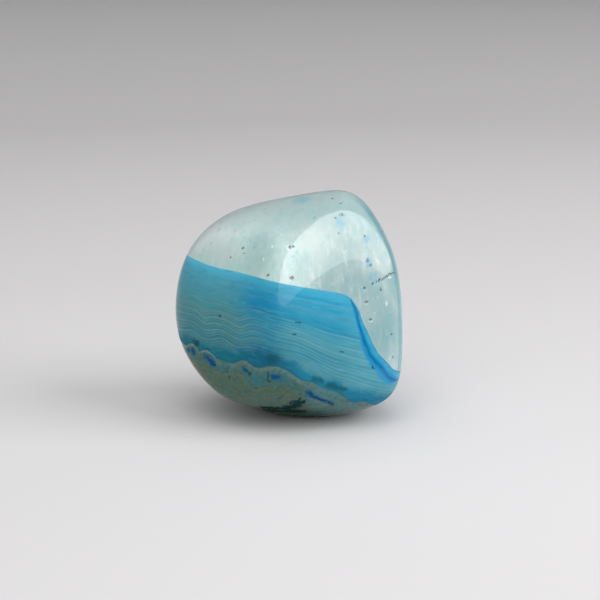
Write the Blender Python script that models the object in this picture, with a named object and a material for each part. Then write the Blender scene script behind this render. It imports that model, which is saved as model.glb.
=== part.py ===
"""Tumbled and polished agate stone, about 25 mm across.

Tumbling left the stone with broad, barely curved faces that run into each other over soft
ridges. Each face is named below with the way it looks and how far it lies from the middle
of the stone, and one formula blends them into a single closed solid. The stone stands on
a small flat worn into its underside.
"""

import math

import bmesh
import bpy
from mathutils import Vector

MM = 0.001  # metres in a millimetre

# Driving dimensions. Every ground face has a bearing round the stone in degrees (0 faces
# the front, -Y, and 90 the right, +X), a tilt above level in degrees, and the distance in
# millimetres at which its plane passes the middle of the stone.
GROUND_FACES = {
    "front_right": (26, 12, 9.6),
    "front_left": (-36, 8, 9.8),
    "front_brow": (-14, 52, 11.8),
    "front_foot": (0, -52, 12.2),
    "right_side": (92, 0, 12.3),
    "upper_right": (94, 34, 13.4),
    "lower_right": (88, -56, 14.5),
    "crown": (-84, 76, 11.8),
    "upper_left": (-92, 42, 13.1),
    "left_side": (-94, 4, 12.9),
    "lower_left": (-88, -34, 12.9),
    "left_foot": (-88, -62, 12.1),
    "back": (182, 4, 9.6),
    "back_left": (-140, 12, 10.8),
    "back_right": (138, -4, 11.0),
    "back_brow": (180, 50, 11.8),
    "back_foot": (178, -50, 11.6),
    "base": (0, -90, 13.3),
}
RIDGE_SHARPNESS = 10  # exponent of the blend: a higher one gives crisper ridges
RESTING_DEPTH = 12.1  # mm from the middle down to the flat that the stone stands on
GRID_SQUARES = 24  # mesh squares along each edge of the starting cube
SNAP_DISTANCE = 0.05  # mm: a mesh point this near the flat is moved onto it
CREASE_ANGLE = math.radians(20)  # edges sharper than this are shaded as a crease

STONE_COLOUR = (0.16, 0.43, 0.55, 1.0)
STONE_ROUGHNESS = 0.15


def face_normal(bearing, tilt):
    """Unit vector that a ground face looks along."""
    around = math.radians(bearing)
    up = math.radians(tilt)
    return Vector((math.sin(around) * math.cos(up), -math.cos(around) * math.cos(up), math.sin(up)))


def surface_distance(direction, slopes):
    """Distance in mm from the middle of the stone to its surface along a unit vector.

    With a few faces alone, the nearest plane would set the distance and the ridges would
    be knife edges. A power mean of all the planes rounds every ridge instead.
    """
    nearness = sum(max(0.0, direction.dot(slope)) ** RIDGE_SHARPNESS for slope in slopes)
    return nearness ** (-1.0 / RIDGE_SHARPNESS)


def ground_solid():
    """A cube of even squares, each point pushed out to the ground surface."""
    solid = bmesh.new()
    bmesh.ops.create_cube(solid, size=2.0)
    bmesh.ops.subdivide_edges(solid, edges=solid.edges[:], cuts=GRID_SQUARES - 1, use_grid_fill=True)
    slopes = [face_normal(bearing, tilt) / distance for bearing, tilt, distance in GROUND_FACES.values()]
    for point in solid.verts:
        # The tangent spaces the points evenly in angle, so squares near the cube's corners don't shrink.
        direction = Vector([math.tan(math.pi / 4 * value) for value in point.co]).normalized()
        point.co = direction * surface_distance(direction, slopes) * MM
    return solid


def wear_resting_flat(solid):
    """Cut off the lowest skin of the stone and close the cut with one flat face."""
    cut = bmesh.ops.bisect_plane(
        solid,
        geom=solid.verts[:] + solid.edges[:] + solid.faces[:],
        dist=SNAP_DISTANCE * MM,
        plane_co=(0.0, 0.0, -RESTING_DEPTH * MM),
        plane_no=(0.0, 0.0, -1.0),
        use_snap_center=True,
        clear_outer=True,
    )
    rim = [item for item in cut["geom_cut"] if isinstance(item, bmesh.types.BMEdge)]
    bmesh.ops.contextual_create(solid, geom=rim)
    bmesh.ops.recalc_face_normals(solid, faces=solid.faces[:])


def stand_on_origin(solid):
    """Put the origin under the middle of the stone, on the plane that it stands on."""
    xs = [point.co.x for point in solid.verts]
    ys = [point.co.y for point in solid.verts]
    zs = [point.co.z for point in solid.verts]
    foot = Vector(((min(xs) + max(xs)) / 2, (min(ys) + max(ys)) / 2, min(zs)))
    bmesh.ops.translate(solid, vec=-foot, verts=solid.verts[:])


def polished_agate():
    """Glossy blue chalcedony."""
    material = bpy.data.materials.new("polished_agate")
    material.use_nodes = True
    shader = material.node_tree.nodes["Principled BSDF"]
    shader.inputs["Base Color"].default_value = STONE_COLOUR
    shader.inputs["Roughness"].default_value = STONE_ROUGHNESS
    shader.inputs["Metallic"].default_value = 0.0
    material.diffuse_color = STONE_COLOUR
    return material


def make_stone():
    solid = ground_solid()
    wear_resting_flat(solid)
    stand_on_origin(solid)
    mesh = bpy.data.meshes.new("agate_stone")
    solid.to_mesh(mesh)
    solid.free()
    mesh.shade_smooth()
    mesh.set_sharp_from_angle(angle=CREASE_ANGLE)
    mesh.materials.append(polished_agate())
    stone = bpy.data.objects.new("agate_stone", mesh)
    bpy.context.scene.collection.objects.link(stone)
    return stone


def clear_scene():
    for leftover in list(bpy.data.objects):
        bpy.data.objects.remove(leftover, do_unlink=True)


clear_scene()
make_stone()
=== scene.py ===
# %% [markdown]
# # A dyed agate, ground smooth in a tumbler
#
# Agate is quartz that filled a hollow in rock, one thin layer after another. This stone shows
# three stages of that filling: a knobbly crust at the bottom, level layers that took up blue
# dye, and a cloudy pale cap that closed the hollow. Weeks in a tumbler ground it to soft faces
# and gave it a wet-looking polish.
#
# The lesson builds that stone in two steps: first the ground form as a dense mesh, then one
# procedural material that works out the layers from the place of each point in the stone. A
# solid pattern like that runs through the stone, so it meets itself on every side without seams.

# %% Load the measured frame
import math

import bmesh
import bpy
import numpy as np
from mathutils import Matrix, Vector


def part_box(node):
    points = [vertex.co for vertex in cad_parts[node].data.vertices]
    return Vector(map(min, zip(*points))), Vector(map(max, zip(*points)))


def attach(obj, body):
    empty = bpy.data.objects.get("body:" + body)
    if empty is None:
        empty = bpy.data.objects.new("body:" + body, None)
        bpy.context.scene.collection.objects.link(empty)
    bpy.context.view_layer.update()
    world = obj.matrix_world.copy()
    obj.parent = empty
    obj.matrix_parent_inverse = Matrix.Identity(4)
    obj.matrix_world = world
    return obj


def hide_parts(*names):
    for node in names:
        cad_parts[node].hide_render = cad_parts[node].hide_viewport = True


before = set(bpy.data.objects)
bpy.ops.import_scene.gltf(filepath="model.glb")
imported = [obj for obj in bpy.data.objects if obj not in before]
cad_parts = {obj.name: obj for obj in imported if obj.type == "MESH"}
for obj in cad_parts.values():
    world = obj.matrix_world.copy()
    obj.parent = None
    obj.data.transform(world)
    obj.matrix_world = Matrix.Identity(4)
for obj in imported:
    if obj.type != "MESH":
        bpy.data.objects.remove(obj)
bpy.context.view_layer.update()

MM = 0.001

# %% [markdown]
# ## The ground form
#
# A tumbled stone isn't a sphere with bumps. It has broad faces, almost flat, that meet in soft
# ridges, and the way those faces turn decides where the studio light is mirrored. So the form
# is made from its faces: each has a bearing, a tilt and a distance from the middle, as a
# lapidary would set them. A power mean of all their planes rounds the ridges. The result is
# one smooth closed surface, and a single number sets how crisp the ridges are.

# %% The faces and the rounding between them
# Bearing round the stone in degrees (0 faces the camera side, 90 the right), tilt above level
# in degrees, and distance from the middle in millimetres.
GROUND_FACES = {
    "front_right": (26, 12, 9.6),
    "front_left": (-36, 8, 9.8),
    "front_brow": (-14, 52, 11.8),
    "front_foot": (0, -52, 12.2),
    "right_side": (92, 0, 12.3),
    "upper_right": (94, 34, 13.4),
    "lower_right": (88, -56, 14.5),
    "crown": (-84, 76, 11.8),
    "upper_left": (-92, 42, 13.1),
    "left_side": (-94, 4, 12.9),
    "lower_left": (-88, -34, 12.9),
    "left_foot": (-88, -62, 12.1),
    "back": (182, 4, 9.6),
    "back_left": (-140, 12, 10.8),
    "back_right": (138, -4, 11.0),
    "back_brow": (180, 50, 11.8),
    "back_foot": (178, -50, 11.6),
    "base": (0, -90, 13.3),
}
RIDGE_SHARPNESS = 10


def direction_of(bearing, tilt):
    """The unit direction at a bearing and a tilt above level, both in degrees."""
    around, up = math.radians(bearing), math.radians(tilt)
    return math.sin(around) * math.cos(up), -math.cos(around) * math.cos(up), math.sin(up)


def face_slopes():
    """One row for each face: its unit normal divided by its distance."""
    return np.array([
        np.array(direction_of(bearing, tilt)) / distance
        for bearing, tilt, distance in GROUND_FACES.values()
    ])


def ground_surface(directions):
    """Surface points in mm from the middle of the stone, and the outward normals there."""
    slopes = face_slopes()
    nearness = np.maximum(directions @ slopes.T, 0.0)
    reach = (nearness ** RIDGE_SHARPNESS).sum(axis=1) ** (-1 / RIDGE_SHARPNESS)
    normals = nearness ** (RIDGE_SHARPNESS - 1) @ slopes
    normals /= np.linalg.norm(normals, axis=1, keepdims=True)
    return directions * reach[:, None], normals


print("ground faces:", len(GROUND_FACES))

# %% [markdown]
# ## An even mesh over the form
#
# A sphere made of rings bunches its points at the poles. A cube whose squares are pushed
# outwards stays even all over, and bending the spacing by a tangent keeps the squares near the
# cube's corners from shrinking. The squares end up about 0.15 mm wide, which is fine enough for
# clean reflections and for the small pits.

# %% Push a cube of squares onto the form
SQUARES_PER_EDGE = 126


def cube_of_squares(name):
    block = bmesh.new()
    bmesh.ops.create_cube(block, size=2.0)
    bmesh.ops.subdivide_edges(block, edges=block.edges[:], cuts=SQUARES_PER_EDGE - 1, use_grid_fill=True)
    mesh = bpy.data.meshes.new(name)
    block.to_mesh(mesh)
    block.free()
    return mesh


def points_of(mesh):
    flat = np.empty(len(mesh.vertices) * 3)
    mesh.vertices.foreach_get("co", flat)
    return flat.reshape(-1, 3)


stone_mesh = cube_of_squares("agate_skin")
directions = np.tan(math.pi / 4 * points_of(stone_mesh))
directions /= np.linalg.norm(directions, axis=1, keepdims=True)
places, outward = ground_surface(directions)
print("squares:", len(stone_mesh.polygons), "span in mm:", np.ptp(places, axis=0).round(2))

# %% [markdown]
# ## The flat that it rests on
#
# A tumbled stone lies on a worn spot. Every point below a level plane is drawn up to it along
# the line to the middle, which leaves a small flat with no new edges in the mesh. Then the stone
# is made a hair smaller than the measured solid, and stands where the solid stands.

# %% Wear the resting flat, then stand the stone inside the solid's box
RESTING_DEPTH = 12.1
SHARE_OF_BOX = 0.9995
below = places[:, 2] < -RESTING_DEPTH
places[below] *= (-RESTING_DEPTH / places[below, 2])[:, None]
low, high = (np.array(corner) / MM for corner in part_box("agate_stone"))
fit = SHARE_OF_BOX * ((high - low) / np.ptp(places, axis=0)).min()
places *= fit
middle = (low + high) / 2 - (places.min(axis=0) + places.max(axis=0)) / 2
middle[2] = low[2] - places[:, 2].min()
places += middle
print("middle of the stone, in mm:", middle.round(3), "fit:", round(fit, 5))

# %% [markdown]
# ## Pits and flecks
#
# Polish never reaches the bottom of a pit, so each one stays dark. The bigger ones in the cap are
# real dents in the mesh, because light catches their rims. All of them are named by their place
# on the stone, and the same lists colour them later.

# %% Where the pits and flecks are
# Place in mm, then radius in mm.
DARK_FLECKS = [
    ((4.68, -1.94, 24.47), 0.16), ((5.57, -2.84, 24.08), 0.15), ((5.65, -3.98, 23.09), 0.20),
    ((5.00, -4.43, 22.74), 0.13), ((5.31, -5.16, 21.26), 0.12), ((8.10, -3.96, 20.72), 0.12),
    ((9.84, -4.57, 15.09), 0.13), ((8.09, -5.45, 15.39), 0.14), ((8.26, -5.72, 13.93), 0.17),
    ((8.74, -5.92, 12.02), 0.15), ((11.06, -4.92, 10.23), 0.13), ((11.17, -5.38, 7.81), 0.12),
    ((12.25, -3.69, 7.70), 0.18), ((0.14, -7.17, 20.15), 0.18), ((0.56, -7.07, 20.24), 0.11),
    ((0.35, -8.52, 17.13), 0.19), ((-2.09, -8.32, 17.41), 0.14), ((-4.81, -5.79, 19.78), 0.16),
    ((-4.69, -6.13, 19.31), 0.13), ((-6.09, -5.46, 18.75), 0.13), ((-8.30, -3.12, 19.80), 0.13),
]
# Strokes: start, end and half width in mm. The crack is a few of them in a row.
BAND_FLECKS = [
    ((-7.40, -5.95, 12.48), (-7.16, -6.0, 12.45), 0.11), ((5.45, -8.20, 9.12), (5.84, -8.05, 9.05), 0.07),
    ((0.50, -9.86, 11.46), (0.80, -9.80, 11.44), 0.07), ((0.80, -9.51, 12.66), (1.30, -9.36, 12.58), 0.07),
]
CRACK = [
    ((8.95, -4.92, 15.76), (9.10, -4.84, 15.84), 0.10), ((9.34, -4.68, 15.90), (9.42, -4.62, 15.86), 0.09),
    ((9.62, -4.46, 15.94), (9.86, -4.30, 16.16), 0.11), ((9.98, -4.22, 16.02), (10.12, -4.08, 16.10), 0.07),
    ((10.22, -4.00, 16.18), (10.80, -3.40, 16.44), 0.13),
    ((10.80, -3.40, 16.42), (11.45, -2.56, 16.50), 0.08),
]
DENT_DEPTH = 0.45  # of a pit's own radius
SMALLEST_DENT = 0.15


def press_dents(places, outward):
    dents = [fleck for fleck in DARK_FLECKS if fleck[1] >= SMALLEST_DENT]
    for centre, radius in dents:
        distance = np.linalg.norm(places - np.array(centre), axis=1) / radius
        places -= outward * (DENT_DEPTH * radius * np.exp(-distance ** 2))[:, None]
    return len(dents)


print("dents pressed:", press_dents(places, outward))

# %% Write the points back and make the piece
stone_mesh.vertices.foreach_set("co", (places * MM).ravel())
stone_mesh.update()
stone_mesh.shade_smooth()
stone = bpy.data.objects.new("polished_stone", stone_mesh)
bpy.context.scene.collection.objects.link(stone)
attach(stone, "root")
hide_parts("agate_stone")
print("points:", len(stone_mesh.vertices))

# %% [markdown]
# ## Writing a material as sums
#
# The stone's pattern is arithmetic: how deep a point lies under the top layer, how far from the
# wall, how near a pocket of dye. Drawing that with hundreds of nodes by hand hides the idea. So
# one small class stands for a value that the shader works out, and Python's own operators add
# the nodes.

# %% A value that a shader works out


class Field:
    """A socket's value, as something to do sums with."""

    def __init__(self, recipe, socket):
        self.recipe = recipe
        self.socket = socket

    def _math(self, operation, *values):
        return self.recipe.node("Math", {"operation": operation}, dict(enumerate(values)))

    def __add__(self, other):
        return self._math("ADD", self, other)

    def __sub__(self, other):
        return self._math("SUBTRACT", self, other)

    def __mul__(self, other):
        return self._math("MULTIPLY", self, other)

    def __truediv__(self, other):
        return self._math("DIVIDE", self, other)

    def __radd__(self, other):
        return self._math("ADD", other, self)

    def __rsub__(self, other):
        return self._math("SUBTRACT", other, self)

    def __rmul__(self, other):
        return self._math("MULTIPLY", other, self)

    def __neg__(self):
        return self._math("MULTIPLY", self, -1.0)

    def __abs__(self):
        return self._math("ABSOLUTE", self)

    def least(self, other):
        return self._math("MINIMUM", self, other)

    def most(self, other):
        return self._math("MAXIMUM", self, other)

    def blend_least(self, other, width):
        return self._math("SMOOTH_MIN", self, other, width)

    def sine(self):
        return self._math("SINE", self)

    def rise(self, start, end):
        """0 before start, 1 after end, with an eased slope between."""
        limits = {"Value": self, "From Min": start, "From Max": end}
        return self.recipe.node("MapRange", {"interpolation_type": "SMOOTHSTEP"}, limits)

    def hump(self, centre, half_width):
        """1 at the centre, falling off to each side like a bell."""
        away = (self - centre) / half_width
        return self._math("EXPONENT", -(away * away))


print("besides plain sums, a value knows:", [name for name in vars(Field) if name[0] != "_"])

# %% [markdown]
# ## One way to add a node
#
# Every node is made by one method that takes its kind, its settings and the values or links of
# its sockets. The short helpers beside it only name what the stone needs often. Numbers go
# through Math nodes, places through Vector Math, and colours through Mix, because a Math node
# would turn a colour grey.

# %% A recipe of nodes, and colours for it


class Recipe:
    """The node tree of one material or light, and the one way to add a node to it."""

    def __init__(self, tree):
        self.tree = tree
        tree.nodes.clear()

    def node(self, kind, settings=None, values=None, output=0):
        made = self.tree.nodes.new("ShaderNode" + kind)
        for name, setting in (settings or {}).items():
            if name == "stops":
                self._set_stops(made.color_ramp, setting)
            else:
                setattr(made, name, setting)
        for name, value in (values or {}).items():
            socket = made.inputs[name]
            if isinstance(value, Field):
                self.tree.links.new(value.socket, socket)
            else:
                socket.default_value = value
        return Field(self, made.outputs[output]) if made.outputs else made

    @staticmethod
    def _set_stops(ramp, stops):
        while len(ramp.elements) > 1:
            ramp.elements.remove(ramp.elements[-1])
        for index, (place, colour) in enumerate(stops):
            element = ramp.elements[0] if index == 0 else ramp.elements.new(place)
            element.position = place
            element.color = colour

    def vector(self, operation, first, second, output=0):
        return self.node("VectorMath", {"operation": operation}, {0: first, 1: second}, output)

    def scaled(self, place, amount):
        return self.node("VectorMath", {"operation": "SCALE"}, {0: place, "Scale": amount})

    def length(self, place):
        return self.node("VectorMath", {"operation": "LENGTH"}, {0: place}, output=1)

    def axes(self, place):
        """The three numbers of a place: across, inwards and upwards."""
        parted = self.node("SeparateXYZ", None, {0: place}).socket.node
        return [Field(self, output) for output in parted.outputs]

    def blend(self, amount, first, second):
        """The first colour where amount is 0 and the second where it is 1."""
        settings = {"data_type": "RGBA", "clamp_factor": True}
        return self.node("Mix", settings, {"Factor": amount, 6: first, 7: second}, output=2)

    def washed(self, colour, washes):
        """The colour after (amount, colour) washes, laid over it one after another."""
        for amount, wash in washes:
            colour = self.blend(amount, colour, wash)
        return colour

    def ramp(self, amount, stops, span=1.0):
        """A colour read off a ruler of stops that is span long."""
        placed = [(where / span, colour) for where, colour in stops]
        return self.node("ValToRGB", {"stops": placed}, {"Fac": amount / span})

    def noise(self, place, scale, detail=2.0, roughness=0.5):
        values = {"Vector": place, "Scale": scale, "Detail": detail, "Roughness": roughness}
        return self.node("TexNoise", None, values)


def paint(red, green, blue):
    """A colour as it looks on a screen, from 0 to 255, turned into the shader's linear one."""
    linear = []
    for value in (red / 255, green / 255, blue / 255):
        linear.append(value / 12.92 if value < 0.04 else ((value + 0.055) / 1.055) ** 2.4)
    return (*linear, 1.0)


print("a middle grey in linear terms:", round(paint(128, 128, 128)[0], 3))

# %% [markdown]
# ## Where a point lies in the stone
#
# The layers settled level in the hollow, and the stone was later ground at an angle, so in the
# stone's frame they tilt: down to the right and a little to the back. Depth is counted in
# millimetres down from the top layer. Further down, the layers sag into folds over the bulbs of
# the crust, and to the right they thicken.

# %% Places and depths
agate = bpy.data.materials.new("dyed_agate")
agate.use_nodes = True
recipe = Recipe(agate.node_tree)
object_place = recipe.node("TexCoord", output=3)
place = recipe.scaled(object_place, 1 / MM)
across, inwards, upwards = recipe.axes(place)

TOP_LAYER = 15.51
TILT_RIGHT = 0.212
TILT_BACK = 0.098
behind = inwards.rise(-1.0, 2.5)
in_front = 1.0 - behind
drift = (recipe.noise(place, 0.14, detail=1.0) - 0.5) * behind
depth = TOP_LAYER - (upwards + across * TILT_RIGHT + inwards * TILT_BACK) - drift


def count_nodes(step):
    print(step, "done, nodes so far:", len(agate.node_tree.nodes))


count_nodes("places and depth")

# %% [markdown]
# ## Folds
#
# The layers sag between the bulbs of the crust below them. Each fold grows with depth, and fades
# again near the crust. On the front, two folds, two low swells and a sag at the left have places
# of their own. Behind, noise folded about its middle value makes the creases.

# %% Folds, sag and thickening
LEVEL_SHIFT = 0.10
FOLD_START = 1.5
FOLD_REACH = 4.0
FOLD_PER_MM = 0.15
level = depth + LEVEL_SHIFT - across.hump(-8.2, 2.4) * 0.26
fold_growth = (depth - FOLD_START).most(0.0).least(FOLD_REACH) * FOLD_PER_MM * depth.rise(9.0, 5.8)
front_folds = (across.hump(-8.95, 0.72) * 0.8 + across.hump(-5.0, 0.95) * 1.1) * in_front
crease_noise = recipe.noise(place, 0.32, detail=1.5)
other_folds = (0.25 - abs(crease_noise - 0.5)) * 4.0 * behind
small_waves = (recipe.noise(place, 0.5, detail=2.0) - 0.5) * (0.25 + behind * 0.5)
low_swells = (across.hump(-7.05, 0.95) * 0.6 + across.hump(-10.5, 0.7) * 0.3) * depth.rise(5.5, 7.8)
left_sag = across.rise(-4.0, -6.5) * depth.rise(0.0, 3.0) * 0.55
far_left_sag = across.rise(-9.3, -12.3) * depth.rise(0.5, 4.0) * 0.35
folds = (front_folds + other_folds + small_waves) * fold_growth
sagged = level - folds - left_sag - far_left_sag + low_swells * in_front
layer = sagged / (1.0 + across.rise(0.5, 5.5) * 0.19 + across.rise(4.0, 11.0) * 0.12)
count_nodes("folds")

# %% [markdown]
# ## The wall of the hollow
#
# At the right the level layers end against a steep sheet of saturated blue: the side of the
# hollow that they filled. It widens downwards. Outside it the cloudy cap reaches almost to the
# foot of the stone. A colour ramp can serve as a graph: its grey at each stop is the graph's
# height, and the shader reads any point off it. Three such graphs follow the sheet's outer
# skin, dark core and inner skin.

# %% A number read off a profile, and the sheet's three profiles


def profile(along, points, reach, span):
    """Follows (place along, value) points; reach and span are the lowest and highest of each."""
    stops = []
    for where, value in points:
        grey = (value - span[0]) / (span[1] - span[0])
        stops.append(((where - reach[0]) / (reach[1] - reach[0]), (grey, grey, grey, 1.0)))
    ruler = recipe.node("ValToRGB", {"stops": stops}, {"Fac": (along - reach[0]) / (reach[1] - reach[0])})
    return recipe.node("SeparateColor", None, {0: ruler}) * (span[1] - span[0]) + span[0]


# Height in mm, then place across in mm.
OUTER_SKIN = [
    (3.0, 16.0), (5.1, 12.7), (5.84, 11.8), (6.22, 11.45), (6.65, 10.96), (7.66, 10.22), (8.56, 9.45),
    (9.59, 8.92), (10.5, 8.47), (12.12, 7.83), (13.47, 7.28), (14.57, 6.72), (16.0, 6.0),
]
DARK_CORE = [
    (3.0, 16.0), (4.9, 12.2), (5.2, 11.3), (5.82, 10.63), (6.82, 10.07), (7.53, 9.41), (8.30, 8.87),
    (9.85, 8.15), (11.33, 7.6), (13.4, 7.15), (14.57, 6.62), (16.0, 5.9),
]
INNER_SKIN = [
    (3.0, 16.0), (4.7, 12.4), (4.9, 11.3), (5.08, 10.3), (6.01, 9.6), (6.8, 9.08), (7.48, 8.55),
    (8.84, 8.0), (10.27, 7.63), (11.76, 7.24), (13.35, 6.82), (14.57, 6.5), (16.0, 5.8),
]
print("points in the sheet's profiles:", len(OUTER_SKIN), len(DARK_CORE), len(INNER_SKIN))

# %% Distance inside the wall, and across its sheet
HEIGHTS = (3.0, 16.0)
PLACES = (5.0, 17.0)
WALL_TURN = 0.12  # how far the wall runs to the right for each mm inwards
PROFILED_AT = -6.3  # where along the depth of the stone the profiles were taken
WALL_SLOPE = 0.85  # turns a distance across into one square to the wall
CORNER_ROUNDING = 1.5
BAND_SHIFT = 0.04
wall_wobble = (recipe.noise(place, 0.8, detail=3.0) - 0.5) * 0.30
wall_place = across - (inwards - PROFILED_AT) * WALL_TURN - wall_wobble
outer_skin = profile(upwards, OUTER_SKIN, HEIGHTS, PLACES)
dark_core = profile(upwards, DARK_CORE, HEIGHTS, PLACES)
ragged_skin = (recipe.noise(place, 1.4, detail=3.0) - 0.5) * 0.6 * upwards.rise(9.5, 7.0)
inner_skin = profile(upwards, INNER_SKIN, HEIGHTS, PLACES) + ragged_skin
inner_part = ((wall_place - inner_skin) / (dark_core - inner_skin).most(0.1)).least(1.0)
outer_part = ((wall_place - dark_core) / (outer_skin - dark_core).most(0.1)).most(0.0)
sheet = (inner_part + outer_part) / 2
inside_wall = (outer_skin - wall_place) * WALL_SLOPE
band = level.blend_least(inside_wall, CORNER_ROUNDING) + BAND_SHIFT
is_band = band.rise(-0.05, 0.07)
count_nodes("wall")

# %% [markdown]
# ## The layers' colours
#
# Chalcedony takes dye unevenly: the open layers drink it and the dense ones stay pale. Three
# rulers of colour run down through the layers, a dull teal one for the left, a deep one for the
# middle and a bright one for the right, and the stone blends between them. Their change in
# brightness from left to right is partly the dye and partly painted light, set in the colours in
# place of the lamps. Noise stretched along the layers then brushes them lighter and darker.

# %% Three rulers of colour
DEEPEST = 10.0
left_stops = [
    (0.0, paint(84, 190, 219)), (0.4, paint(80, 175, 202)), (1.0, paint(74, 161, 182)),
    (2.0, paint(71, 148, 165)), (3.2, paint(69, 145, 154)), (4.0, paint(62, 136, 145)),
    (5.0, paint(55, 131, 139)), (6.4, paint(42, 123, 133)), (7.4, paint(38, 119, 130)),
]
middle_stops = [
    (0.0, paint(72, 173, 202)), (0.5, paint(60, 162, 192)), (1.2, paint(42, 148, 182)),
    (2.0, paint(19, 140, 180)), (2.9, paint(14, 131, 173)), (4.0, paint(21, 135, 169)),
    (5.2, paint(32, 135, 162)), (6.6, paint(40, 128, 150)), (7.3, paint(10, 109, 139)),
]
right_stops = [
    (0.0, paint(68, 166, 195)), (0.5, paint(58, 159, 192)), (1.05, paint(43, 151, 186)),
    (1.3, paint(60, 152, 181)), (1.7, paint(42, 146, 180)), (2.4, paint(54, 144, 173)),
    (3.2, paint(32, 137, 170)), (3.6, paint(39, 138, 166)), (4.2, paint(59, 141, 161)),
    (5.2, paint(70, 139, 154)), (6.4, paint(55, 131, 150)), (7.6, paint(59, 130, 143)),
]
patchy = (recipe.noise(place, 0.4, detail=2.0) - 0.5) * 1.6
to_middle = (across + patchy).rise(-6.4, -3.2)
to_right = (across + patchy).rise(-2.0, 0.4)
# Partly painted light: the balance of brightness between the three rulers also stands in for the light
# across the front.
left_colour = recipe.ramp(layer, left_stops, DEEPEST)
middle_colour = recipe.ramp(layer, middle_stops, DEEPEST)
right_colour = recipe.ramp(layer, right_stops, DEEPEST)
right_colour = recipe.blend(across.rise(4.5, 8.5) * 0.3, right_colour, paint(92, 172, 190))
layers = recipe.blend(to_right, recipe.blend(to_middle, left_colour, middle_colour), right_colour)
count_nodes("rulers")

# %% Brushed along the layers
brush_place = recipe.node("CombineXYZ", None, {0: across * 0.6, 1: inwards * 0.6, 2: layer * 3.2})
brushwork = recipe.noise(brush_place, 1.0, detail=4.0, roughness=0.65)
layers = recipe.washed(layers, [
    (brushwork.rise(0.51, 0.70) * 0.32, paint(86, 168, 194)),
    (brushwork.rise(0.49, 0.30) * 0.32, paint(18, 114, 152)),
])
count_nodes("layers")

# %% [markdown]
# ## Growth lines
#
# Between the thick layers run hairlines of denser quartz that stayed pale, and a few that took
# up more dye. Each can be followed across the whole front, and most lie a little deeper at the
# right. A faint sine with noise in depth alone adds the finest lines between them.

# %% Hairlines
# Depth at the right and at the left, half width, strength at the right and at the left.
PALE_LINES = [
    (1.18, 1.12, 0.06, 0.40, 0.20), (2.05, 1.95, 0.22, 0.20, 0.05), (3.32, 2.86, 0.06, 0.25, 0.12),
    (3.76, 3.22, 0.06, 0.80, 0.45), (4.12, 3.60, 0.05, 0.25, 0.15), (4.40, 3.82, 0.05, 0.20, 0.20),
    (4.66, 4.03, 0.07, 0.70, 0.65), (4.98, 4.38, 0.05, 0.30, 0.25), (5.31, 4.68, 0.09, 0.65, 0.90),
    (5.62, 5.02, 0.05, 0.45, 0.30), (6.08, 5.38, 0.10, 0.30, 0.70), (6.38, 5.76, 0.05, 0.30, 0.30),
    (6.66, 6.20, 0.10, 0.20, 0.75), (7.00, 6.58, 0.06, 0.20, 0.40), (7.32, 6.90, 0.06, 0.22, 0.50),
    (7.62, 7.38, 0.08, 0.20, 0.65), (7.90, 7.70, 0.06, 0.15, 0.30),
]
DARK_LINES = [
    (0.92, 0.90, 0.10, 0.25, 0.15), (3.54, 3.08, 0.10, 0.45, 0.10), (4.52, 3.98, 0.04, 0.35, 0.30),
    (5.14, 4.56, 0.05, 0.40, 0.45), (5.88, 5.22, 0.045, 0.95, 0.35), (6.24, 5.62, 0.035, 0.60, 0.45),
    (6.52, 5.95, 0.035, 0.35, 0.30), (6.84, 7.12, 0.060, 0.55, 1.60), (7.18, 7.60, 0.045, 0.35, 0.60),
    (4.22, 3.7, 0.035, 0.30, 0.20), (7.5, 8.0, 0.035, 0.45, 0.30),
]
leftwards = across.rise(4.0, -9.5)
print("lines placed:", len(PALE_LINES), "pale and", len(DARK_LINES), "dark")


def lines(table):
    """The strongest of the table's lines at each point, from 0 to 1."""
    strongest = 0.0
    for right_depth, left_depth, half_width, right_strength, left_strength in table:
        line_depth = right_depth + leftwards * (left_depth - right_depth)
        strength = right_strength + leftwards * (left_strength - right_strength)
        strongest = (layer.hump(line_depth, half_width) * strength).most(strongest)
    return strongest


# %% The finest lines, and every line laid on
FINEST_WIDTH = 0.21
fading = 0.4 + recipe.noise(place, 0.45, detail=3.0).rise(0.34, 0.62) * 0.7
along_depth = {"W": layer * 1.3, "Scale": 1.0, "Detail": 2.0}
depth_noise = recipe.node("TexNoise", {"noise_dimensions": "1D"}, along_depth)
finest = ((layer / FINEST_WIDTH + depth_noise * 3.0) * (2 * math.pi)).sine() * layer.rise(2.8, 4.0)
pale_line = recipe.blend(across.rise(-3.0, 1.0), paint(116, 144, 134), paint(110, 158, 166))
dark_line = recipe.blend(across.rise(-3.0, 1.0), paint(22, 108, 134), paint(28, 108, 130))
fineness = 0.12 + across.rise(-2.0, -5.0) * 0.10
banded = recipe.washed(layers, [
    (finest.most(0.0) * fineness, pale_line),
    ((-finest).most(0.0) * fineness, dark_line),
    (lines(DARK_LINES) * fading * 0.6, dark_line),
    (lines(PALE_LINES) * fading * 0.75, pale_line),
])
count_nodes("growth lines")

# %% [markdown]
# ## The sheet's colours
#
# The sheet is darkest along its core and paler towards both of its skins, so its ruler of colour
# runs across it, not down. Thin laminae show low in its outer half, and a dark line edges it
# near the top.

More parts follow.
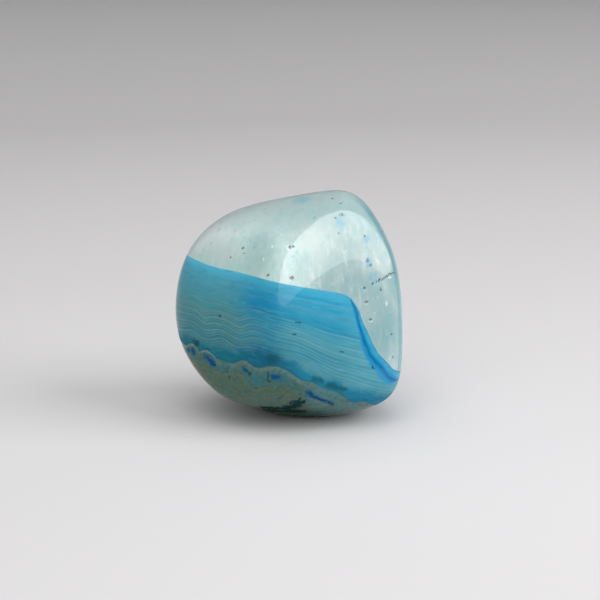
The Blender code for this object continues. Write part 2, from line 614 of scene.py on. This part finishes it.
# %% The wall's sheet
sheet_stops = [
    (0.0, paint(44, 140, 176)), (0.2, paint(28, 137, 180)), (0.36, paint(12, 121, 172)),
    (0.46, paint(2, 93, 147)), (0.54, paint(2, 95, 151)), (0.66, paint(24, 143, 186)),
    (0.9, paint(58, 166, 198)), (1.0, paint(20, 116, 150)),
]
ripple = (outer_part * 20.0 + wall_wobble * 8.0).sine()
laminae = ripple * outer_part.rise(0.1, 0.35) * upwards.rise(10.5, 8.5)
top_line = outer_part.rise(0.86, 0.98) * upwards.rise(12.6, 13.4)
sheet_patches = recipe.noise(place, 0.9, detail=3.0).rise(0.4, 0.65)
sheet_colour = recipe.washed(recipe.ramp(sheet, sheet_stops), [
    (laminae.most(0.0) * 0.5, paint(10, 110, 150)),
    (top_line * 0.7, paint(4, 92, 128)),
    (sheet_patches * 0.3, paint(30, 130, 170)),
])
walled = recipe.blend(inner_part.rise(-0.1, 0.25), banded, sheet_colour)
count_nodes("sheet")

# %% [markdown]
# ## The crust
#
# The bottom of the hollow was lined with a grey-green crust that grew as rounded bulbs. Its top
# is given along the front, as a graph of depth against place, and noise makes it wander. Round
# the back, rounded cells and broader noise carry the bulbs on. Where a point lies deeper than
# that top, it's in the crust.

# %% The crust's outline
# Place across in mm and depth of the crust's top there, followed along the front.
CRUST_TOP = [
    (-12.4, 9.40), (-11.1, 9.70), (-10.8, 9.30), (-10.3, 9.12), (-9.9, 9.30), (-9.6, 9.75), (-9.3, 9.48),
    (-8.7, 9.25), (-8.1, 9.45), (-7.7, 9.82), (-6.4, 9.85), (-5.7, 9.70), (-5.3, 9.40), (-4.9, 9.05),
    (-4.4, 8.98), (-3.6, 9.38), (-2.9, 9.32), (-2.3, 8.95), (-1.7, 8.70), (-0.9, 8.60), (0.0, 8.85),
    (0.7, 9.25), (1.4, 9.62), (2.6, 9.72), (3.8, 10.25), (5.3, 10.45), (6.0, 10.95), (6.9, 11.60),
    (7.6, 11.25), (8.4, 11.20), (9.6, 11.90),
]
FRONT = (-13.0, 11.0)
DEPTHS = (6.0, 13.0)
HIDDEN_TOP = 9.3
HIDDEN_TILT = 0.12
wander = (recipe.noise(place, 1.3, detail=3.0) - 0.5) * 0.35
rounded = {"Vector": place, "Scale": 0.45, "Smoothness": 0.3}
knobbly = recipe.node("TexVoronoi", {"feature": "SMOOTH_F1"}, rounded)
broad_swell = (recipe.noise(place, 0.2, detail=1.0) - 0.5) * 3.0
hidden_top = HIDDEN_TOP + across * HIDDEN_TILT + broad_swell + knobbly * 1.2
seen_top = profile(across + wander, CRUST_TOP, FRONT, DEPTHS)
crust_top = seen_top + behind * (hidden_top - seen_top)
crust = depth - crust_top + wander * 0.3
on_crust = crust.rise(-0.05, 0.06)
count_nodes("crust outline")

# %% [markdown]
# ## Dye pooled above the crust
#
# Dye gathered on top of the crust, so the layers turn dark just above it. The pool's own top is
# a second graph along the front. It is soft and striped, since some layers drank more than
# others, and the darkest line of all lies right on the crust.

# %% The pool
POOL_TOP = [
    (-12.0, 8.6), (-10.3, 8.4), (-9.0, 8.65), (-7.5, 8.6), (-6.0, 8.45), (-4.5, 7.9), (-3.3, 7.3),
    (-2.0, 7.1), (-0.9, 7.4), (0.5, 7.7), (2.0, 8.25), (3.5, 8.65), (5.0, 9.1), (6.5, 9.5), (8.0, 9.7),
    (10.0, 9.9),
]
HIDDEN_POOL_DEPTH = 1.2
seen_pool = profile(across + wander * 2.0, POOL_TOP, FRONT, DEPTHS)
pool_top = seen_pool + behind * (crust_top - HIDDEN_POOL_DEPTH - seen_pool)
stripes = finest * 0.1 + (recipe.noise(place, 0.6, detail=3.0) - 0.5) * 1.8
near_crust = depth + wander - crust_top
pool = (depth + wander * 1.2 + stripes - pool_top).rise(-0.4, 0.7).most(near_crust.rise(-0.55, -0.15))
middle_pool = recipe.blend(across.rise(-6.0, -3.0), paint(10, 104, 124), paint(6, 92, 122))
pool_colour = recipe.washed(middle_pool, [
    (across.rise(-1.0, 3.0), paint(20, 119, 151)),
    (finest.most(0.0) * layer.rise(6.5, 7.5) * 0.35, paint(40, 122, 136)),
    (near_crust.rise(-0.35, -0.05) * 0.45, paint(6, 78, 100)),
    (brushwork.rise(0.50, 0.66) * across.rise(2.0, -1.0) * 0.4, paint(44, 124, 136)),
    (brushwork.rise(0.48, 0.34) * 0.35, paint(2, 76, 112)),
])
pooled = recipe.blend(pool * (0.9 + finest * 0.1), walled, pool_colour)
count_nodes("pool")

# %% [markdown]
# ## The crust's own colours
#
# From its skin inwards the crust has a pale rim, then a duller body, and deeper still an inner
# zone with an edge of its own, a thin olive line and a pale one beside it. Two noises mottle
# it: a broad one for stains and a fine one for grain. Lowest of all, painted shade darkens it
# towards the bottom of the stone.

# %% Rim, inner zone and patches
INNER_TOP = [
    (-12.0, 11.4), (-10.0, 11.1), (-8.6, 11.2), (-7.4, 11.1), (-6.4, 10.85), (-5.6, 10.45), (-4.9, 10.55),
    (-4.3, 11.1), (-3.6, 11.75), (-2.9, 11.5), (-2.2, 10.95), (-1.0, 10.75), (0.2, 10.72), (1.1, 10.85),
    (1.7, 11.4), (2.0, 12.2), (2.6, 12.9), (3.5, 12.7), (4.5, 12.8), (6.0, 12.95),
]
rim_stops = [
    (0.0, paint(62, 108, 110)), (0.14, paint(82, 118, 112)), (0.42, paint(76, 114, 110)),
    (0.7, paint(52, 104, 106)), (1.3, paint(48, 100, 102)),
]
left_rim_stops = [
    (0.0, paint(74, 120, 118)), (0.08, paint(114, 137, 127)), (0.2, paint(108, 131, 123)),
    (0.34, paint(44, 100, 106)), (0.9, paint(42, 94, 100)), (1.3, paint(60, 100, 92)),
]
RIM_DEPTH = 2.0
rim_colour = recipe.ramp(crust, rim_stops, RIM_DEPTH)
teal_patch = across.hump(-3.3, 1.4) * crust.rise(0.4, 1.2)
inner = depth - profile(across + wander * 1.5, INNER_TOP, FRONT, DEPTHS) + wander * 0.6
patchy_edge = recipe.noise(place, 1.2, detail=3.0).rise(0.40, 0.60)
crust_body = recipe.washed(rim_colour, [
    (across.rise(-7.6, -8.2), recipe.ramp(crust, left_rim_stops, RIM_DEPTH)),
    (teal_patch * 0.7, paint(30, 106, 116)),
    (inner.rise(-0.12, 0.2) * 0.95, paint(66, 96, 80)),
    (inner.hump(-0.02, 0.09) * patchy_edge * 0.6, paint(58, 76, 48)),
    (inner.hump(0.24, 0.16) * patchy_edge * 0.4, paint(92, 110, 86)),
    (across.rise(1.2, 3.2) * 0.85, paint(70, 122, 126)),
])
count_nodes("crust rim")

# %% Stains, grain and painted shade
stain = recipe.noise(place, 0.9, detail=4.0, roughness=0.6)
mottle = recipe.noise(place, 2.4, detail=5.0, roughness=0.7)
# Painted shade: the crust turns darker towards the bottom, except at the right.
painted_low_shade = upwards.rise(3.0, 1.0) * across.rise(6.0, 2.5)
crust_body = recipe.washed(crust_body, [
    (stain.rise(0.5, 0.64) * 0.6, paint(72, 90, 66)),
    (stain.rise(0.47, 0.34) * 0.55, paint(30, 96, 98)),
    (mottle.rise(0.52, 0.66) * 0.5, paint(90, 116, 98)),
    (mottle.rise(0.47, 0.34) * 0.55, paint(24, 68, 58)),
    (painted_low_shade * 0.75, paint(22, 58, 46)),
])
crusted = recipe.blend(on_crust, pooled, crust_body)
count_nodes("crust")

# %% [markdown]
# ## Spots of strong dye
#
# Where the crust was porous, the dye collected in pockets. Each is a small ellipsoid or a short
# stroke, and the nearest one decides a point's colour: 0 at a pocket's heart, 1 at its edge.
# Noise that shifts the place and noise added to that number make the edges ragged, and a
# second, wider step gives the blue pockets their halo.

# %% How near the nearest spot is
gritty = (recipe.noise(place, 2.6, detail=4.0, roughness=0.6) - 0.5) * 2.0
eddies = {"Vector": place, "Scale": 1.9, "Detail": 3.0, "Roughness": 0.6}
swirl = recipe.node("TexNoise", None, eddies, output=1)
shift = recipe.scaled(recipe.vector("SUBTRACT", swirl, (0.5, 0.5, 0.5)), 0.6)
ragged_place = recipe.vector("ADD", place, shift)


def to_blob(where, centre, size):
    radii = size if isinstance(size, tuple) else (size, size, size)
    away = recipe.vector("SUBTRACT", where, centre)
    return recipe.length(recipe.vector("DIVIDE", away, radii))


def to_stroke(where, start, end, half_width):
    along = Vector(end) - Vector(start)
    from_start = recipe.vector("SUBTRACT", where, start)
    share = recipe.vector("DOT_PRODUCT", from_start, along / along.length_squared, output=1)
    passed = recipe.scaled(along, share.most(0.0).least(1.0))
    return recipe.length(recipe.vector("SUBTRACT", from_start, passed)) / half_width


def closeness(spots, where=place):
    """0 at the heart of the nearest spot and 1 at its edge, for blobs and strokes alike."""
    nearest = None
    for spot in spots:
        reach = to_stroke(where, *spot) if len(spot) == 3 else to_blob(where, *spot)
        nearest = reach if nearest is None else nearest.least(reach)
    return nearest


count_nodes("ragged places")

# %% Where the pockets are
BLUE_POCKETS = [
    ((-10.84, -3.42, 8.08), (0.14, 0.4, 0.26)), ((-10.36, -4.05, 8.20), (-10.20, -4.25, 7.95), 0.24),
    ((-8.66, -5.66, 7.84), (-8.42, -5.88, 7.56), 0.24),
    ((-8.36, -5.94, 7.50), (-8.02, -6.2, 7.32), 0.28),
    ((-4.68, -8.63, 7.50), (-4.42, -8.83, 7.25), 0.16),
    ((-1.30, -10.38, 7.00), (0.52, 0.5, 0.25)), ((-1.62, -10.30, 6.90), (-1.30, -10.38, 6.98), 0.14),
    ((2.20, -9.25, 4.85), (2.57, -8.92, 4.49), 0.27), ((2.57, -8.92, 4.49), (3.01, -8.58, 4.20), 0.24),
    ((3.01, -8.58, 4.17), (3.70, -8.1, 3.76), 0.17), ((3.70, -8.1, 3.78), (3.95, -7.95, 3.68), 0.24),
    ((4.30, -7.75, 3.50), (4.57, -7.57, 3.30), 0.22),
]
TEAL_POCKETS = [
    ((-8.96, -5.40, 7.93), (0.20, 0.4, 0.34)), ((-9.85, -4.52, 9.14), (0.30, 0.5, 0.35)),
    ((-4.50, -8.8, 7.35), (-4.0, -9.1, 6.9), 0.2), ((2.0, -9.5, 5.1), (2.3, -9.2, 4.8), 0.3),
]
GREEN_POCKETS = [
    ((-2.09, -10.17, 7.42), (-2.10, -10.05, 6.55), 0.10),
    ((-2.14, -10.05, 6.55), (-1.95, -10.1, 6.42), 0.17),
    ((-4.34, -8.89, 7.14), (-3.88, -9.18, 6.86), 0.10), ((4.72, -7.3, 3.2), (4.62, -7.0, 2.85), 0.2),
    ((3.1, -8.3, 3.8), (4.5, -7.3, 3.05), 0.10), ((-7.9, -6.35, 7.2), (-7.8, -6.4, 7.16), 0.12),
    ((8.95, -6.95, 7.10), (9.15, -6.85, 6.95), 0.12),
]
DUSKY_PATCHES = [
    ((2.7, -9.75, 6.55), (3.5, -9.5, 6.33), 0.24), ((4.2, -9.15, 5.8), (5.2, -8.7, 5.4), 0.26),
    ((5.6, -8.5, 5.2), (6.1, -8.3, 5.0), 0.2), ((-2.0, -10.2, 8.84), (-1.4, -10.3, 8.94), 0.40),
    ((-10.1, -4.1, 9.3), (-9.8, -4.4, 9.1), 0.3),
]
print("pockets:", len(BLUE_POCKETS) + len(TEAL_POCKETS) + len(GREEN_POCKETS), "dusky:", len(DUSKY_PATCHES))

# %% Pockets of blue, teal and green
blue_spots = closeness(BLUE_POCKETS, ragged_place) + gritty
teal_spots = closeness(TEAL_POCKETS, ragged_place) + gritty * 0.9
green_spots = closeness(GREEN_POCKETS, ragged_place) + gritty
dusky = closeness(DUSKY_PATCHES, ragged_place) + gritty * 1.2
blue_core = blue_spots.rise(1.55, 0.55)
spotted = recipe.washed(crusted, [
    (dusky.rise(1.9, 0.4) * 0.75, paint(14, 78, 88)),
    (blue_spots.rise(2.4, 1.0) * 0.5, paint(16, 100, 120)),
    (teal_spots.rise(1.4, 0.7) * 0.75, paint(0, 74, 92)),
    (blue_core * 0.95, paint(12, 74, 124)),
    (green_spots.rise(1.4, 0.5) * 0.85, paint(4, 46, 36)),
])
count_nodes("pockets")

# %% [markdown]
# ## The dark foot, specks and flecks
#
# Low at the front, under the biggest bulb, the crust is nearly black, with upright fibres at its
# edge. The fibres and part of the dark are the crust's own colour, and the black where the stone
# meets the table is painted shade.
# The same strokes make it, with noise that is stretched upright. Small specks lie in the crust
# and a few short flecks in the layers.

# %% The dark foot and the specks
DARK_FOOT = [
    ((-2.6, -6.1, 2.35), (0.1, -6.45, 2.4), 0.40), ((0.0, -6.6, 2.5), (0.8, -7.2, 2.95), 0.55),
    ((0.8, -7.4, 3.1), (1.40, -8.1, 3.64), 0.34), ((0.1, -7.6, 3.2), (0.5, -8.3, 3.8), 0.12),
    ((-2.2, -5.4, 1.7), (1.2, -5.6, 1.8), 0.60), ((0.5, -7.4, 3.1), (0.9, -8.3, 3.85), 0.16),
    ((1.5, -7.6, 3.25), (1.7, -8.3, 3.8), 0.12), ((1.0, -8.1, 3.7), (1.25, -8.8, 4.25), 0.12),
]
SPECKS = [
    ((-0.92, -8.80, 4.24), (-0.60, -9.3, 4.7), 0.08), ((-1.1, -8.6, 4.1), (-0.8, -8.7, 4.2), 0.12),
    ((-6.30, -7.57, 6.25), (-6.24, -7.6, 6.1), 0.11), ((-6.8, -7.2, 6.95), (-6.45, -7.45, 6.55), 0.06),
    ((-7.6, -6.6, 7.2), (-7.0, -7.05, 7.05), 0.05), ((-3.54, -9.11, 5.46), (-3.3, -9.2, 5.3), 0.10),
]
fibre_place = recipe.vector("MULTIPLY", place, (3.4, 1.0, 0.8))
fibres = (recipe.noise(fibre_place, 1.3, detail=3.0) - 0.5) * 2.2
# Partly painted shade: the black near the table stands in for the shade under the stone; the fibres are the
# crust's own.
dark_foot_and_shade = (closeness(DARK_FOOT, ragged_place) + fibres * 0.8 + gritty * 1.3).rise(1.9, 0.6)
specks = (closeness(SPECKS, ragged_place) + gritty * 0.8).rise(1.6, 0.6)
dark_foot_colour = recipe.blend(upwards.rise(2.3, 3.0), paint(10, 40, 36), paint(2, 50, 54))
fleck_grit = (recipe.noise(place, 6.0, detail=2.0) - 0.5) * 4.0
band_flecks = (closeness(BAND_FLECKS) + fleck_grit * 0.8).rise(1.4, 0.6)
band_colour = recipe.washed(spotted, [
    (specks * 0.85, paint(30, 62, 44)),
    (dark_foot_and_shade * 0.95, dark_foot_colour),
    (band_flecks * 0.75, paint(30, 66, 56)),
])
count_nodes("hollow, specks and flecks")

# %% [markdown]
# ## The cloudy cap
#
# The cap is quartz with a milky haze. Its colour drifts between a cool grey and a faint aqua, and
# fine upright streaks follow the crystals that grew in from the wall. Five soft clouds have
# places of their own, made like the pockets but with a slow fall towards their edges.

# %% Haze and streaks
haze = recipe.noise(place, 0.25, detail=3.0)
bright_side = (across + patchy).rise(-2.5, 5.5)
left_haze = recipe.blend(haze.rise(0.38, 0.62), paint(203, 238, 233), paint(226, 250, 245))
right_haze = recipe.blend(haze.rise(0.38, 0.62), paint(170, 203, 204), paint(194, 216, 213))
clouds = recipe.noise(place, 1.1, detail=5.0, roughness=0.65)
streak_place = recipe.vector("MULTIPLY", place, (1.6, 1.6, 0.2))
streaks = recipe.noise(streak_place, 1.0, detail=4.0, roughness=0.6)
cap_colour = recipe.washed(recipe.blend(bright_side, left_haze, right_haze), [
    (clouds.rise(0.56, 0.70) * 0.4, paint(246, 252, 248)),
    (clouds.rise(0.46, 0.32) * 0.4, paint(158, 204, 204)),
    (streaks.rise(0.5, 0.72) * (0.6 - bright_side * 0.25), paint(248, 253, 250)),
    (streaks.rise(0.48, 0.30) * 0.3, paint(160, 200, 200)),
])
count_nodes("haze and streaks")

# %% Clouds, and a greyer crown
PALE_CLOUDS = [((-7.2, -5.0, 19.2), (3.4, 4.0, 1.7)), ((2.2, -5.8, 21.2), (2.4, 3.0, 2.4))]
GREY_CLOUDS = [((-2.8, -6.9, 20.4), (2.0, 3.0, 4.8))]
DIM_CLOUDS = [((10.2, -4.6, 10.8), (3.2, 4.0, 4.2)), ((11.8, -3.2, 15.0), (1.2, 3.0, 3.4))]
cap_colour = recipe.washed(cap_colour, [
    (closeness(PALE_CLOUDS).rise(1.3, 0.2) * 0.6, paint(218, 230, 225)),
    (closeness(GREY_CLOUDS).rise(1.3, 0.2) * 0.5, paint(156, 190, 187)),
    (closeness(DIM_CLOUDS).rise(1.3, 0.3) * 0.55, paint(134, 184, 190)),
    (upwards.rise(20.4, 23.6) * 0.7, paint(160, 194, 195)),
])
count_nodes("clouds")

# %% [markdown]
# ## A deeper rim
#
# Near its outline at the right the cap is painted deeper in colour, for the longer way that light
# takes through tinted quartz there. The Layer Weight node tells how squarely a surface faces the
# eye, so this painted shade rises towards the outline.

# %% The rim's wash
grazing = recipe.node("LayerWeight", None, {"Blend": 0.5}, output=1)
# Painted shade: the cap darkens towards its outline at the right.
rim = grazing.rise(0.42, 0.62) * across.rise(6.0, 9.0)
cap_colour = recipe.blend(rim * 0.8, cap_colour, paint(66, 152, 166))
count_nodes("rim")

# %% [markdown]
# ## Tints, flecks and glints
#
# A little dye crept into the cap along cracks, and left blue tints. The pits and the crack from
# the first lists are coloured dark here, by the same two helpers as the pockets. The glints are
# painted highlights: small white marks for flakes inside the quartz that catch the light.

# %% Where the tints and glints are
TINTS = [
    ((8.55, -4.5, 18.0), (0.45, 0.6, 0.55)), ((5.5, -4.4, 22.2), (0.6, 0.8, 0.8)), ((8.3, -3.9, 20.4), 0.5),
    ((1.4, -1.0, 24.1), (1.0, 1.2, 0.6)), ((9.3, -4.9, 16.4), (0.8, 0.6, 0.9)),
]
PAINTED_GLINTS = [
    ((-0.71, -6.12, 21.26), (0.07, 0.2, 0.18)), ((-1.66, -6.97, 20.19), (0.08, 0.2, 0.18)),
    ((-2.56, -7.49, 18.93), (0.09, 0.2, 0.24)), ((10.50, -4.54, 13.50), (0.10, 0.2, 0.26)),
    ((10.85, -3.45, 16.10), (0.30, 0.3, 0.08)), ((9.18, -5.53, 12.69), 0.07),
    ((9.51, -4.96, 14.30), 0.06), ((2.6, -4.2, 23.2), 0.08),
]
BLUE_FLECKS = [((8.42, -4.58, 18.20), 0.20), ((8.75, -4.52, 17.69), 0.16)]
print("tints:", len(TINTS), "glints:", len(PAINTED_GLINTS), "blue flecks:", len(BLUE_FLECKS))

# %% Tints, flecks and glints laid over the cap
tints = (closeness(TINTS) + gritty).rise(1.4, 0.2)
more_tints = recipe.noise(place, 1.0, detail=4.0).rise(0.62, 0.76)
crack_place = recipe.vector("ADD", place, recipe.scaled(shift, 0.5))
to_crack = closeness(CRACK, crack_place) + fleck_grit * 0.8
cap_flecks = (closeness(DARK_FLECKS) + fleck_grit).least(to_crack).rise(1.2, 0.5)
blue_flecks = (closeness(BLUE_FLECKS) + fleck_grit * 0.7).rise(1.4, 0.6)
cap_colour = recipe.washed(cap_colour, [
    (tints.most(more_tints) * 0.6, paint(90, 186, 214)),
    (cap_flecks * 0.85, paint(38, 70, 84)),
    (blue_flecks * 0.8, paint(30, 100, 160)),
    # Painted highlights: the glints are white marks in the cap's colour.
    (closeness(PAINTED_GLINTS).rise(1.3, 0.6), paint(254, 255, 254)),
])
count_nodes("cap")

# %% [markdown]
# ## Two finishes in one polish
#
# Both parts of the stone carry a glassy polish, made by the shader's coat, which mirrors more on
# the cap than on the layers. Under it the cap lets light through and scatters it, and the dyed
# layers are denser. The two shaders meet along the same mask that colours the band. Where dye
# soaked in, and where shade is painted low on the stone, most of the coat is taken off: a full
# one laid a grey veil over the darkest blues.

# %% The polish, where dye soaked in and where shade is painted


def polished(colour, settings):
    values = {"Base Color": colour, "Roughness": 0.3, "Specular IOR Level": 0.0}
    values.update({"Coat Roughness": 0.012, "Subsurface Radius": (1.0, 1.0, 1.0)})
    values.update(settings)
    return recipe.node("BsdfPrincipled", None, values)


# Painted shade low on the stone loses most of its coat too, like the soaked dye.
soaked_and_shaded = (pool * (1.0 - on_crust) * 0.8).most(blue_core).most(dark_foot_and_shade).most(painted_low_shade * 0.7)
thinning = soaked_and_shaded * is_band * 0.9
count_nodes("soaked places")

# %% The finishes, and the material's output
CLOUDY = {
    "Transmission Weight": 0.3, "Subsurface Weight": 1.0, "Subsurface Scale": 5 * MM,
    "Coat Weight": 1.0, "Coat IOR": 1.72,
}
DENSE = {
    "Subsurface Weight": 0.2, "Subsurface Scale": 0.3 * MM,
    "Coat Weight": 1.0 - thinning, "Coat IOR": 1.42,
}
cap_finish = polished(cap_colour, CLOUDY)
band_finish = polished(band_colour, DENSE)
whole = recipe.node("MixShader", None, {0: is_band, 1: cap_finish, 2: band_finish})
recipe.node("OutputMaterial", None, {"Surface": whole})
stone_mesh.materials.append(agate)
print("nodes in the material:", len(agate.node_tree.nodes))

# %% [markdown]
# ## The table
#
# A pale sheet of board that curves up far behind the stone on every side. It is one outline
# spun round the upright axis. Its grey carries a painted pool of light: it is lightest at a point
# just to the right in front of the stone, darkens out to about 30 cm, and grows lighter far off.

# %% The board
BOARD_RADIUS = 1.2
SWEEP_HEIGHT = 0.5
RINGS = 24
SPOKES = 96
SEAM_GAP = 1e-5  # metres: nearer points become one, where the spin closes


def board_profile():
    """Radius and height from the middle of the board to the rim of its sweep."""
    flat_part = [(BOARD_RADIUS * step / RINGS, 0.0) for step in range(RINGS + 1)]
    curve = []
    for step in range(1, RINGS + 1):
        turn = math.pi / 2 * step / RINGS
        radius = BOARD_RADIUS + SWEEP_HEIGHT * math.sin(turn)
        curve.append((radius, SWEEP_HEIGHT * (1 - math.cos(turn))))
    return flat_part + curve


def make_board():
    board_mesh = bpy.data.meshes.new("board")
    shape = bmesh.new()
    outline = [shape.verts.new((radius, 0.0, height)) for radius, height in board_profile()]
    for first, second in zip(outline, outline[1:]):
        shape.edges.new((first, second))
    bmesh.ops.spin(shape, geom=shape.verts[:] + shape.edges[:], cent=(0, 0, 0), axis=(0, 0, 1),
                   angle=2 * math.pi, steps=SPOKES)
    bmesh.ops.remove_doubles(shape, verts=shape.verts[:], dist=SEAM_GAP)
    bmesh.ops.recalc_face_normals(shape, faces=shape.faces[:])
    shape.to_mesh(board_mesh)
    shape.free()
    board_mesh.shade_smooth()
    return bpy.data.objects.new("board", board_mesh)


board = make_board()
bpy.context.scene.collection.objects.link(board)
print("squares in the board:", len(board.data.polygons))

# %% The board's grey, with a painted pool of light
PAINTED_LIGHT_CENTRE = (0.04, -0.03, 0.0)
matte = bpy.data.materials.new("matte_board")
matte.use_nodes = True
board_recipe = Recipe(matte.node_tree)
board_place = board_recipe.node("TexCoord", output=3)
from_painted_light_centre = board_recipe.vector("DISTANCE", board_place, PAINTED_LIGHT_CENTRE, output=1)
# Painted light: the grey falls off with distance from that point and lightens again far off.
grey_and_light_stops = [
    (0.0, paint(225, 223, 224)), (0.04, paint(221, 219, 220)), (0.12, paint(212, 210, 211)),
    (0.3, paint(196, 194, 195)), (0.8, paint(217, 215, 216)), (1.0, paint(219, 217, 218)),
]
grey_and_painted_light = board_recipe.ramp(from_painted_light_centre, grey_and_light_stops)
matte_finish = board_recipe.node("BsdfPrincipled", None, {"Base Color": grey_and_painted_light, "Roughness": 0.9})
board_recipe.node("OutputMaterial", None, {"Surface": matte_finish})
board.data.materials.append(matte)
print("stops of grey in the board:", len(grey_and_light_stops))

# %% [markdown]
# ## Light
#
# The stone mirrors a curved panel of glowing cloth, which stands round its right side and arches
# over it. Its image fills the right-hand face, so its outline is drawn by bearing and height as
# the stone sees them. The cloth glows strongest near the top, and shows in the polish only: the
# lamps that come next light the stone. That way each can be set for its own job.

# %% The panel's outline
STONE_HEART = Vector((0.0, 0.0, 0.012))
PANEL_DISTANCE = 0.8
# Bearing from the stone, and how high the panel reaches there, in degrees.
PANEL_ARCH = [
    (-14, 14), (-5, 22), (0, 31), (7, 45), (13, 62), (20, 78), (30, 85), (60, 82), (72, 68),
    (80, 54), (88, 41), (96, 29), (105, 21), (112, 16.5), (117, 13), (121, 9),
]
# The same for its foot.
PANEL_FOOT = [
    (-14, 13), (40, 13), (52, 12.2), (60, 11.2), (70, 10.5), (81, 8.2), (100, 6.5), (121, 5.5),
]
print("the panel turns through", PANEL_ARCH[-1][0] - PANEL_ARCH[0][0], "degrees")

# %% The glowing panel


def on_studio_shell(bearing, tilt):
    """The place on a sphere round the stone where the panel and the lamps stand."""
    return Vector(direction_of(bearing, tilt)) * PANEL_DISTANCE


def glowing_panel(columns=70, rows=24):
    bearings, tops = zip(*PANEL_ARCH)
    foot_bearings, feet = zip(*PANEL_FOOT)
    shape = bmesh.new()
    grid = []
    for column in range(columns + 1):
        bearing = bearings[0] + (bearings[-1] - bearings[0]) * column / columns
        top = float(np.interp(bearing, bearings, tops))
        foot = float(np.interp(bearing, foot_bearings, feet))
        tilts = [foot + (top - foot) * row / rows for row in range(rows + 1)]
        grid.append([shape.verts.new(on_studio_shell(bearing, tilt)) for tilt in tilts])
    for left, right in zip(grid, grid[1:]):
        for row in range(rows):
            shape.faces.new((left[row], right[row], right[row + 1], left[row + 1]))
    panel_mesh = bpy.data.meshes.new("glowing_panel")
    shape.to_mesh(panel_mesh)
    shape.free()
    holder = bpy.data.objects.new("glowing_panel", panel_mesh)
    holder.location = STONE_HEART
    holder.visible_camera = False
    holder.visible_diffuse = False
    holder.visible_shadow = False
    bpy.context.scene.collection.objects.link(holder)
    return holder


panel = glowing_panel()
print("squares in the panel:", len(panel.data.polygons))

# %% Its glowing cloth
CLOTH_STRENGTH = 2.7
glow = bpy.data.materials.new("glowing_cloth")
glow.use_nodes = True
glow_recipe = Recipe(glow.node_tree)
panel_place = glow_recipe.node("TexCoord", output=3)
panel_height = glow_recipe.axes(panel_place)[2] / PANEL_DISTANCE
glow_stops = [(0.2, (0.66, 0.66, 0.66, 1.0)), (0.6, (1.0, 1.0, 1.0, 1.0))]
glow_colour = glow_recipe.ramp(panel_height, glow_stops)
cloth = glow_recipe.node("Emission", None, {"Color": glow_colour, "Strength": CLOTH_STRENGTH})
glow_recipe.node("OutputMaterial", None, {"Surface": cloth})
panel.data.materials.append(glow)
print("the cloth's strength:", CLOTH_STRENGTH)

# %% [markdown]
# ## Three soft lamps
#
# Wide round lamps light the stone and the table. The one at the right throws the soft shadow to
# the left, and the other two fill it. None of them shows in the polish, where only the panel
# should be seen. All three are made by one loop from a small table.

# %% The lamps
SOFT_LAMPS = {
    "side_lamp": {"bearing": 72, "tilt": 31, "width": 0.62, "watts": 3.95},
    "front_lamp": {"bearing": -6, "tilt": 36, "width": 1.0, "watts": 3.7},
    "top_lamp": {"bearing": 0, "tilt": 88, "width": 1.0, "watts": 1.7},
}


def aim(thing, target):
    thing.rotation_euler = (target - thing.location).to_track_quat("-Z", "Y").to_euler()


for name, setting in SOFT_LAMPS.items():
    lamp_data = bpy.data.lights.new(name, "AREA")
    lamp_data.shape = "DISK"
    lamp_data.size = setting["width"]
    lamp_data.energy = setting["watts"]
    lamp = bpy.data.objects.new(name, lamp_data)
    lamp.location = STONE_HEART + on_studio_shell(setting["bearing"], setting["tilt"])
    lamp.visible_glossy = False
    aim(lamp, STONE_HEART)
    bpy.context.scene.collection.objects.link(lamp)
    print(name, "at", lamp.location)

# %% [markdown]
# ## The room
#
# Everything round the studio is the world's background, in plain greys. It is pale at the sides,
# a little darker above, behind the stone and to the right, and dark on the camera's side. The
# polish mirrors that side in the front faces, and keeps their colours deep.

# %% The room's greys
world = bpy.data.worlds.new("studio")
bpy.context.scene.world = world
world.use_nodes = True
world_recipe = Recipe(world.node_tree)
gaze = world_recipe.node("TexCoord", output=0)
room_right, room_back, room_height = world_recipe.axes(gaze)
camera_side = -room_back
room = world_recipe.washed((0.52, 0.515, 0.52, 1.0), [
    (room_height.rise(0.15, 0.7), (0.46, 0.46, 0.465, 1.0)),
    (camera_side.rise(-0.3, -0.8), (0.36, 0.36, 0.365, 1.0)),
    (room_right.rise(0.1, 0.6), (0.28, 0.285, 0.29, 1.0)),
    (camera_side.rise(0.35, 0.85), (0.07, 0.07, 0.07, 1.0)),
])
air = world_recipe.node("Background", None, {"Color": room, "Strength": 1.0})
world_recipe.node("OutputWorld", None, {"Surface": air})
bpy.context.scene.view_settings.view_transform = "Standard"
print("nodes in the room:", len(world.node_tree.nodes))

# %% [markdown]
# ## The camera
#
# A long lens from a little above, about eighteen centimetres away, as for a small find on a
# desk.

# %% The camera
ELEVATION = 13.0
LENS = 100.0
SENSOR = 36.0
PHOTO_WIDTH = 600
PIXELS_PER_MM = 9.08
MIDDLE_PIXEL = (290.0, 305.0)

camera_data = bpy.data.cameras.new("camera")
camera_data.lens = LENS
camera_data.sensor_width = SENSOR
camera_data.clip_start = 0.01
camera = bpy.data.objects.new("camera", camera_data)
bpy.context.scene.collection.objects.link(camera)
toward_camera = Vector(direction_of(0, ELEVATION))
picture_up = Vector((0, math.sin(math.radians(ELEVATION)), math.cos(math.radians(ELEVATION))))
picture_width = PHOTO_WIDTH / PIXELS_PER_MM * MM
camera_distance = picture_width * LENS / SENSOR
offset_right = (PHOTO_WIDTH / 2 - MIDDLE_PIXEL[0]) / PIXELS_PER_MM * MM
offset_up = (MIDDLE_PIXEL[1] - PHOTO_WIDTH / 2) / PIXELS_PER_MM * MM
look_at = Vector(middle) * MM + Vector((1, 0, 0)) * offset_right + picture_up * offset_up
camera.location = look_at + toward_camera * camera_distance
aim(camera, look_at)
bpy.context.scene.camera = camera
print("camera distance in mm:", round(camera_distance / MM, 1))

# %% Update the scene
bpy.context.view_layer.update()
